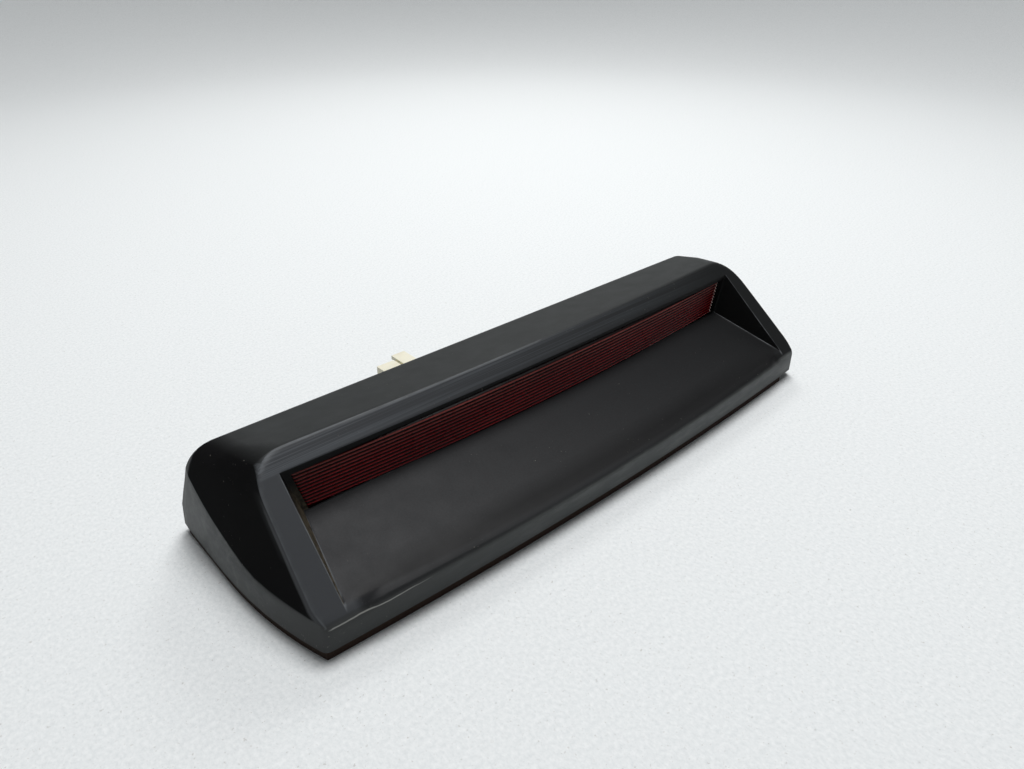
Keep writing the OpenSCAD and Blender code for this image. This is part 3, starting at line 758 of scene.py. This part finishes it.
def front_row(row):
    """One row of the front: skirt, lip, side bands and top band."""
    z = FRONT_ROWS[row]
    corner = front_corner(row)
    x = columns_x(LENS_HALF, opening_edge(row)[0], corner[0])
    if row <= ROW_STEP:
        y = front_y(x, z)
        y[-1] = corner[1]
        return points(x, y, z)
    if row <= ROW_LIP:
        low = front_row(ROW_STEP)
        edge_x = opening_edge(row)[0]
        y = bezel_y(LIP) - LIP_BOW * np.maximum(0, 1 - (x / edge_x) ** 2)
        rim = points(x, y, np.where(x > edge_x - 1e-6, LIP, shelf_z(y)))
        row_points = between(low, rim, (z - FRONT_ROWS[ROW_STEP]) / (LIP - FRONT_ROWS[ROW_STEP]))
        row_points[-1] = corner
        return row_points
    if row < ROW_OPEN:
        return points(x, bezel_y(z), z)
    edge_y = back_y(x)
    edge = points(x, edge_y, CREASE_Z + (edge_y - CREASE_Y) * BEZEL_SLOPE)
    t = (z - OPEN_TOP) / (CREASE_Z - OPEN_TOP)
    row_points = between(edge, roof_row(0), t)
    row_points[:, 0] = x
    row_points[-1] = corner
    return row_points


def roof_row(j):
    """One row across the roof, from the crease (j = 0) to its rear edge."""
    t = ALONG_ROOF[j]
    edge = side_top(j)
    x = columns_x(LENS_HALF, OPEN_HALF, edge[0])
    crease_y = CREASE_Y - CREASE_PULL * sag(x)
    y = between(crease_y, TOP_Y, t)
    z = CREASE_Z - roof_sag(x, y) - (y - CREASE_Y) * ROOF_SLOPE
    row_points = points(x, y, z)
    row_points[-1] = edge
    return row_points


def side_top(j):
    """Where the roof's plane meets the side."""
    y = between(CREASE_Y, TOP_Y, ALONG_ROOF[j])
    z = CREASE_Z - (y - CREASE_Y) * ROOF_SLOPE
    return points(outer_x(y, z), y, z)


def rear_row(row):
    """One row across the rear wall; the last one is the roof's rear edge."""
    corner = rear_corner(row)
    x = columns_x(LENS_HALF, OPEN_HALF, corner[0])
    if row == ROW_TOP:
        return roof_row(len(ALONG_ROOF) - 1)
    return points(x, corner[1], corner[2])


def step_line(t):
    """(y, z) along the soft step from the front corner to the rear corner, t from 0 to 1."""
    start, end = front_corner(ROW_STEP), rear_corner(ROW_STEP)
    y = between(start[1], end[1], t)
    rise = np.maximum(0, (y - STEP_RISE_Y) / (end[1] - STEP_RISE_Y)) ** 2
    return y, between(start[2], end[2], rise)


def coons(bottom, top, left, right):
    """Grid between four boundary curves of (y, z): bottom and top run along, left and right upwards."""
    u = ALONG_ROOF[None, :, None]
    v = np.linspace(0, 1, len(left))[:, None, None]
    ruled = between(bottom[None], top[None], v) + between(left[:, None], right[:, None], u)
    corners = between(between(bottom[0], bottom[-1], u), between(top[0], top[-1], u), v)
    return ruled - corners


def side_grid():
    """The end of the hood: below and above the soft step."""
    low_y = between(front_corner(0)[1], rear_corner(0)[1], ALONG_ROOF)
    low = np.stack([low_y, np.full_like(low_y, SKIRT_Z)], axis=1)
    step = np.stack(step_line(ALONG_ROOF), axis=1)
    top = np.array([side_top(j)[1:] for j in range(len(ALONG_ROOF))])
    front = np.array([front_corner(r)[1:] for r in range(ROW_TOP + 1)])
    rear = np.array([rear_corner(r)[1:] for r in range(ROW_TOP + 1)])
    below = coons(low, step, front[:ROW_STEP + 1], rear[:ROW_STEP + 1])
    above = coons(step, top, front[ROW_STEP:], rear[ROW_STEP:])
    y, z = np.moveaxis(np.concatenate([below, above[1:]]), -1, 0)
    return points(outer_x(y, z), y, z)


def lens_wall_row(row):
    """One row of the wall round the lens, from its middle to the cheek."""
    z = FRONT_ROWS[row]
    cheek = cheek_x(BACK_Y, z)
    x = columns_x(lens_x(z), cheek, cheek)[:COL_OPEN + 1]
    y = back_y(x)
    y[-1] = BACK_Y
    if row >= ROW_LENS:
        top = CREASE_Z + (back_y(x) - CREASE_Y) * BEZEL_SLOPE
        z = between(LENS_ROW, top, (z - LENS_ROW) / (OPEN_TOP - LENS_ROW))
        z[-1] = FRONT_ROWS[row]
    if row == ROW_SHELF:
        z = shelf_z(y)
    if row == ROW_OPEN:
        return round_corner(front_row(row)[:COL_OPEN + 1])
    return points(x, y, z)


def shelf_row(row):
    """One row across the shelf, from the lip (row = ROW_LIP) to the wall round the lens."""
    start = front_row(ROW_LIP)[:COL_OPEN + 1]
    t = (FRONT_ROWS[row] - LIP) / (SHELF_END - LIP)
    return between(start, lens_wall_row(ROW_SHELF), t)


def cheek_row(row):
    """One row across the cheek, from the bezel to the shelf or to the wall round the lens."""
    rear = shelf_row(row)[-1] if row <= ROW_SHELF else lens_wall_row(row)[-1]
    return between(round_corner(front_row(row)[COL_OPEN]), rear, ACROSS_CHEEK[:, None])


def grid(make_row, rows):
    """One grid of points out of the rows that make_row gives."""
    return np.array([make_row(r) for r in rows])


def round_corner(p):
    """Moves points of the bezel's square outer corner onto the round one, as a square maps to a disc."""
    rise = math.sin(BEZEL_TILT)
    p = p.copy()
    edge = outer_x(bezel_y(p[..., 2]), p[..., 2])
    u = np.clip(1 - (edge - p[..., 0]) / CORNER_R, 0, 1)
    v = np.clip(1 - (CREASE_Z - p[..., 2]) / rise / CORNER_R, 0, 1)
    across = CORNER_R * u * (1 - np.sqrt(1 - v * v / 2))
    down = CORNER_R * v * (1 - np.sqrt(1 - u * u / 2))
    p[..., 0] -= across
    p[..., 1] -= down * math.cos(BEZEL_TILT)
    p[..., 2] -= down * rise
    return p


def hood_patches():
    """(points, zone, cells left out) for each patch of the hood's right half."""
    front = grid(front_row, range(ROW_TOP + 1))
    rear = grid(rear_row, range(ROW_TOP + 1))
    window_low = int(np.argmin(abs(REAR_ROWS - WINDOW_LOW)))
    window_high = int(np.argmin(abs(REAR_ROWS - WINDOW_HIGH)))

    def in_window(r, c):
        return window_low <= r < window_high and c < WINDOW_COL

    def in_lens(r, c):
        return r < ROW_LENS - ROW_SHELF and c < COL_LENS

    def none(r, c):
        return False

    def in_opening(r, c):
        return r >= ROW_LIP - ROW_STEP and r < ROW_OPEN - ROW_STEP and c < COL_OPEN

    side = side_grid()
    roof = grid(roof_row, range(len(ALONG_ROOF)))
    front = round_corner(front)
    roof[0] = round_corner(roof[0])
    side[:, 0] = round_corner(side[:, 0])
    return [
        (front[:ROW_STEP + 1], "skirt", none),
        (front[ROW_STEP:], "bezel", in_opening),
        (roof, "roof", none),
        (rear, "rear", in_window),
        (side[:ROW_STEP + 1], "skirt", none),
        (side[ROW_STEP:], "end", none),
        (grid(shelf_row, range(ROW_LIP, ROW_SHELF + 1)), "shelf", none),
        (grid(cheek_row, range(ROW_LIP, ROW_OPEN + 1)), "cheek", none),
        (grid(lens_wall_row, range(ROW_SHELF, ROW_OPEN + 1)), "cheek", in_lens),
    ]


def weld(patches):
    """Joins the patches and their mirror images into one set of points and faces."""
    pts, faces, zones = [], [], []
    for grid_points, zone, left_out in patches:
        for flip in (1, -1):
            start = sum(len(p) for p in pts)
            rows, cols = grid_points.shape[:2]
            pts.append(grid_points.reshape(-1, 3) * (flip, 1, 1))
            zones += [zone] * (rows * cols)
            for r in range(rows - 1):
                for c in range(cols - 1):
                    if not left_out(r, c):
                        a = start + r * cols + c
                        faces.append((a, a + 1, a + cols + 1, a + cols))
    pts = np.concatenate(pts)
    _, first, same = np.unique(np.round(pts, 2) + 0.0, axis=0, return_index=True, return_inverse=True)
    same = same.reshape(-1)
    merged = []
    for face in faces:
        ring = list(dict.fromkeys(int(same[v]) for v in face))
        if len(ring) > 2:
            merged.append(ring)
    return pts[first], merged, [zones[i] for i in first]


def face_normal(p, face):
    """The face's normal, twice its area long."""
    total = np.zeros(3)
    for i in range(len(face)):
        total += np.cross(p[face[i]], p[face[(i + 1) % len(face)]])
    return total


def border_edges(faces):
    """Directed edges that only one face uses."""
    seen = {(a, b) for f in faces for a, b in zip(f, f[1:] + f[:1])}
    return [(a, b) for a, b in seen if (b, a) not in seen]


def fade(value, start, full):
    """0 at start, 1 at full, clamped."""
    return np.clip((value - start) / (full - start), 0, 1)


TOUCHING = 0.05                 # a point this near to a face is on it, in millimetres
# painted highlight along the bezel's outer edge
OUTER_EDGE_W = 0.9              # width of the bezel's pale outer edge
OUTER_EDGE_HIGHLIGHT = 0.5
# painted light: the lit rounding between the bezel and the end face is painted in the bezel's tone
RIM_W = (2.4, 0.9)              # the end face takes the bezel's tone this near to the bezel
RIM_BELOW = (7, 15)             # and only this far below the crease
# painted shade: the roof's left end takes the end faces' painted near-black
ROOF_SHADE_X = (-109, -123)      # the roof goes dark at its left end
LIP_SHADE_AT = LIP - 0.6        # height of the dark line under the lip
LIP_SHADE_W = (2.4, 0.9)
LIP_SHADE_Y, LIP_SHADE_HALF = -30, 113
WORN_CORNER = (-112, -12, SKIRT_TOP - 2)    # the worn corner lies below these x, y and z


def edge_highlight(p):
    """Painted highlight: 1 on the rim of the cheeks and where they meet the shelf, less on the left of the
    bezel's edge.
    """
    x, y, z = np.abs(p[:, 0]), p[:, 1], p[:, 2]
    on_cheek = np.abs(x - cheek_x(y, z)) < TOUCHING
    on_bezel = np.abs(y - bezel_y(z)) < TOUCHING
    on_shelf = np.abs(z - shelf_z(y)) < TOUCHING
    outer = on_bezel * (p[:, 0] < 0) * fade(np.abs(crown(x, y, z)), OUTER_EDGE_W, 0)
    return np.maximum(on_cheek & (on_bezel | on_shelf), OUTER_EDGE_HIGHLIGHT * outer)


def hood_marks(p, zones):
    """How far each point of the hood belongs to each zone of its finish and of its painted light and shade,
    0 to 1.
    """
    zones = np.array(zones)
    marks = {zone: (zones == zone).astype(float) for zone in ("bezel", "shelf", "skirt", "end", "cheek")}
    inside_bezel = (CREASE_Y - p[:, 1]) * BEZEL_NORMAL[0] + (CREASE_Z - p[:, 2]) * BEZEL_NORMAL[1]
    # painted light on the rounding next to the bezel
    rim = fade(inside_bezel, *RIM_W) * fade(CREASE_Z - p[:, 2], *RIM_BELOW) * marks["end"]
    marks["bezel"] = np.maximum(marks["bezel"], rim)
    # painted shade on the roof's left end
    roof_shade = fade(p[:, 0], *ROOF_SHADE_X) * (zones == "roof")
    marks["end"] = np.maximum(marks["end"] * (1 - rim), roof_shade)
    marks["edge"] = edge_highlight(p)
    in_front = (p[:, 1] < LIP_SHADE_Y) & (np.abs(p[:, 0]) < LIP_SHADE_HALF)
    marks["lip"] = fade(np.abs(p[:, 2] - LIP_SHADE_AT), *LIP_SHADE_W) * in_front
    marks["worn_corner"] = (p < WORN_CORNER).all(axis=1)
    return marks


def hood_shell():
    """The hood: an outer skin, an inner skin a wall's thickness away, and the rims between them."""
    start, faces, zones = weld(hood_patches())
    flat = start[:, 2] < SKIRT_Z + 0.01
    outer = settle(start, 0, flat)
    slope = hood_slope(outer)
    normals = slope / np.linalg.norm(slope, axis=1, keepdims=True)
    faces = [f if face_normal(outer, f) @ normals[f].mean(0) > 0 else f[::-1] for f in faces]
    inner = settle(outer - normals * WALL, -WALL, flat)
    inner[flat, 2] = SKIRT_Z
    inner_slope = hood_slope(inner)
    inner_normals = -inner_slope / np.linalg.norm(inner_slope, axis=1, keepdims=True)
    count = len(outer)
    verts = np.concatenate([outer, inner])
    vert_normals = np.concatenate([normals, inner_normals])
    rims = [[b, a, a + count, b + count] for a, b in border_edges(faces)]
    skins = faces + [[v + count for v in f[::-1]] for f in faces]
    mesh = bpy.data.meshes.new("hood_shell")
    mesh.from_pydata([tuple(v) for v in verts * MM], [], skins + rims)
    mesh.shade_smooth()
    loop_normals = [tuple(vert_normals[v]) for f in skins for v in f]
    for rim in rims:
        n = face_normal(verts, rim)
        loop_normals += [tuple(n / max(np.linalg.norm(n), 1e-9))] * len(rim)
    mesh.normals_split_custom_set(loop_normals)
    for name, values in hood_marks(start, zones).items():
        layer = mesh.attributes.new(name, "FLOAT", "POINT")
        layer.data.foreach_set("value", np.tile(values, 2))
    return piece("hood_shell", mesh, "hood_plastic", "housing", "hood")


# ---------------------------------------------------------------- the lens

LENS_FRONT = -7.0
LENS_BOW = 3.5
LENS_WALL = 2.2
LENS_EDGE_W, LENS_EDGE_BACK = 0.4, 0.3      # the front's edge is rounded over this width and depth
RIBS = 11
RIB_DEPTH = 0.5
RIB_POWER = 2.2                 # the higher, the broader the ribs and the narrower the grooves
FLANGE_Y = (-1.6, 0.4)
FLANGE_OUT = (2.2, 2.0, 1.0)    # the flange stands out sideways, down and up by this
SHELF_GAP = 0.12                # between the lens and the shelf it stands on
ROWS_PER_RIB = 12
LENS_ROWS = RIBS * ROWS_PER_RIB + 1
LENS_COLUMNS = 90
COLUMN_SPREAD = 0.96            # the columns follow a sine up to this share of its quarter turn
WORN_SHARE = 0.045              # the worn edge: this share of the height, at the foot
WORN_COLUMNS = 2                # and this many columns at the right end
LENS_CREASE = math.radians(50)  # sharper edges than this are shaded as creases


def lens_sheet(grow, y_of, on_shelf=0.0):
    """One layer of the lens, grown sideways, down and up; on_shelf lowers its foot towards the shelf."""
    z = np.linspace(LENS_LOW - grow[1], LENS_TOP + grow[2], LENS_ROWS)
    half = LENS_HALF + grow[0] + (z - LENS_LOW) * LENS_FLARE
    turns = np.linspace(-1, 1, LENS_COLUMNS + 1) * math.pi / 2 * COLUMN_SPREAD
    across = np.sin(turns) / math.sin(math.pi / 2 * COLUMN_SPREAD)
    x = half[:, None] * across[None]
    zz = np.repeat(z[:, None], len(across), axis=1)
    y = y_of(x, zz)
    lower = np.minimum(0, shelf_z(y) + SHELF_GAP - LENS_LOW) * on_shelf
    return points(x, y, zz + lower * (LENS_TOP - zz) / (LENS_TOP - LENS_LOW))


def rib_profile(z):
    """0 on top of a rib, 1 in the groove between two."""
    phase = (z - LENS_LOW) / (LENS_TOP - LENS_LOW) * RIBS
    return np.abs(np.cos(phase * math.pi)) ** RIB_POWER


def lens_bow(x):
    """The lens's front without its ribs."""
    return LENS_FRONT + LENS_BOW * (x / LENS_HALF) ** 2


def lens_front(x, z):
    """The ribbed front, whose sides and top are slightly rounded."""
    half = LENS_HALF + (z - LENS_LOW) * LENS_FLARE
    near = fade(np.minimum(half - np.abs(x), LENS_TOP - z), LENS_EDGE_W, 0)
    return lens_bow(x) + RIB_DEPTH * rib_profile(z) + LENS_EDGE_BACK * near ** 2


def lens_layers():
    """The lens's outlines in order: front, flange's front and back, and the hollow back."""
    def flat(y):
        return lambda x, z: np.full_like(x, y)

    inside = (-LENS_WALL, -LENS_WALL, -LENS_WALL)
    return [
        lens_sheet((0, 0, 0), lens_front, 1.0),
        lens_sheet((0, 0, 0), flat(FLANGE_Y[0])),
        lens_sheet(FLANGE_OUT, flat(FLANGE_Y[0])),
        lens_sheet(FLANGE_OUT, flat(FLANGE_Y[1])),
        lens_sheet(inside, flat(FLANGE_Y[1])),
        lens_sheet(inside, lambda x, z: lens_bow(x) + RIB_DEPTH + LENS_WALL),
    ]


def mark_lens(mesh):
    """Writes where the grooves, the height and the worn edge are on the lens's front, its first points."""
    share = np.repeat(np.linspace(0, 1, LENS_ROWS), LENS_COLUMNS + 1)
    column = np.tile(np.arange(LENS_COLUMNS + 1), LENS_ROWS)
    marks = {
        "groove": rib_profile(LENS_LOW + share * (LENS_TOP - LENS_LOW)),
        "height": share,
        "edge": (share < WORN_SHARE) | (column >= LENS_COLUMNS - WORN_COLUMNS),
    }
    for name, on_the_front in marks.items():
        values = np.zeros(len(mesh.vertices))
        values[:len(share)] = on_the_front
        mesh.attributes.new(name, "FLOAT", "POINT").data.foreach_set("value", values)


def lens_mesh():
    """A closed ribbed cover with a flange behind it and a hollow back."""
    bm = bmesh.new()
    rings = []
    sheets = lens_layers()
    for index, sheet in enumerate(sheets):
        filled = index in (0, len(sheets) - 1)
        h, w = sheet.shape[:2]
        keep = {}
        for r in range(h):
            for c in range(w):
                if filled or r in (0, h - 1) or c in (0, w - 1):
                    keep[r, c] = bm.verts.new(sheet[r, c] * MM)
        if filled:
            for r in range(h - 1):
                for c in range(w - 1):
                    cell = [keep[r, c], keep[r, c + 1], keep[r + 1, c + 1], keep[r + 1, c]]
                    bm.faces.new(cell if index == 0 else cell[::-1])
        around = [(0, c) for c in range(w)] + [(r, w - 1) for r in range(1, h)]
        around += [(h - 1, c) for c in range(w - 2, -1, -1)] + [(r, 0) for r in range(h - 2, 0, -1)]
        rings.append([keep[k] for k in around])
    for a, b in zip(rings, rings[1:]):
        bridge(bm, b, a)
    mesh = finished_mesh(bm, "lens_cover", LENS_CREASE)
    mark_lens(mesh)
    return piece("lens_cover", mesh, "lens_red", "housing", "lens")


# ---------------------------------------------------------------- the hood's screw bosses

BOSS_R = 3.5
PILOT_R = 1.4
PILOT_DEPTH = 9
BOSS_SIDES = 32
BOSS_CHAMFER = 0.4
BOSS_CREASE = math.radians(30)
PLATE_TOP = SKIRT_Z + 2.5       # the base plate's upper face, which the upright bosses stand on
LAMP_BOSS = (118, box_mm("lamp_body")[0][1], 30)        # the middle of each boss's mouth
LAMP_BOSS_END = -14
FRONT_BOSS = (100, -25, PLATE_TOP)
REAR_BOSS = (104, 36, PLATE_TOP)
REAR_BOSS_TOP = 15
GUSSET_HALF = 0.75              # half thickness of the gusset at its foot
GUSSET_TAPER = 0.8              # and this share of it at its top
GUSSET_TOP = 13
GUSSET_START = 0.9 * BOSS_R     # the gusset starts this far from the boss's middle, inside its wall


def add_boss(bm, at, upright, length, flip):
    """A round boss with a blind pilot hole; it runs up from its mouth, or forwards when not upright."""
    rings = []
    for radius, along in (
        (PILOT_R, PILOT_DEPTH), (PILOT_R, 0),
        (BOSS_R - BOSS_CHAMFER, 0), (BOSS_R, BOSS_CHAMFER), (BOSS_R, length),
    ):
        ring = []
        for i in range(BOSS_SIDES):
            a = 2 * math.pi * i / BOSS_SIDES
            u, v = radius * math.cos(a), radius * math.sin(a)
            step = np.array((u, v, along) if upright else (u, -along, v))
            ring.append(bm.verts.new((np.array(at) + step) * (flip, 1, 1) * MM))
        rings.append(ring)
    bm.faces.new(rings[0])
    bm.faces.new(rings[-1])
    for a, b in zip(rings, rings[1:]):
        bridge(bm, a, b)


def add_gusset(bm, flip):
    """The tapered gusset from a rear boss to the rear wall."""
    x, y, z = REAR_BOSS
    near, far = y + GUSSET_START, REAR_Y - WALL / 2
    outline = ((near, z, 1), (far, z, 1), (far, GUSSET_TOP, GUSSET_TAPER), (near, GUSSET_TOP, GUSSET_TAPER))
    sides = []
    for side in (-GUSSET_HALF, GUSSET_HALF):
        at = [np.array((x + side * share, along, up)) * (flip, 1, 1) * MM for along, up, share in outline]
        sides.append([bm.verts.new(p) for p in at])
        bm.faces.new(sides[-1])
    bridge(bm, *sides)


def hood_bosses():
    """The bosses inside the hood that take the lamp's two screws and the base plate's four."""
    bm = bmesh.new()
    for flip in (1, -1):
        add_boss(bm, FRONT_BOSS, True, shelf_z(FRONT_BOSS[1]) - WALL / 2 - PLATE_TOP, flip)
        add_boss(bm, REAR_BOSS, True, REAR_BOSS_TOP - PLATE_TOP, flip)
        add_boss(bm, LAMP_BOSS, False, LAMP_BOSS[1] - LAMP_BOSS_END, flip)
        add_gusset(bm, flip)
    mesh = finished_mesh(bm, "hood_bosses", BOSS_CREASE)
    return piece("hood_bosses", mesh, "hood_plastic", "housing", "hood")


# ---------------------------------------------------------------- the floor

def make_floor():
    """A plain round floor that sweeps up into a backdrop all round, well away from the lamp."""
    profile = [(FLOOR_R, 0.0)]
    for i in range(1, SWEEP_STEPS + 1):
        turn = math.radians(SWEEP_TURN) * i / SWEEP_STEPS
        profile.append((FLOOR_R + SWEEP_R * math.sin(turn), SWEEP_R * (1 - math.cos(turn))))
    bm = bmesh.new()
    rings = []
    for radius, z in profile:
        turns = [2 * math.pi * i / FLOOR_SIDES for i in range(FLOOR_SIDES)]
        rings.append([bm.verts.new((radius * math.cos(a), radius * math.sin(a), z)) for a in turns])
    bm.faces.new(rings[0])
    for low, high in zip(rings, rings[1:]):
        bridge(bm, low, high)
    mesh = finished_mesh(bm, "floor")
    mesh.materials.append(paper())
    obj = bpy.data.objects.new("floor", mesh)
    bpy.context.scene.collection.objects.link(obj)


make_camera()
make_lights()
make_floor()
dress_cad_nodes()
hood_shell()
hood_bosses()
lens_mesh()
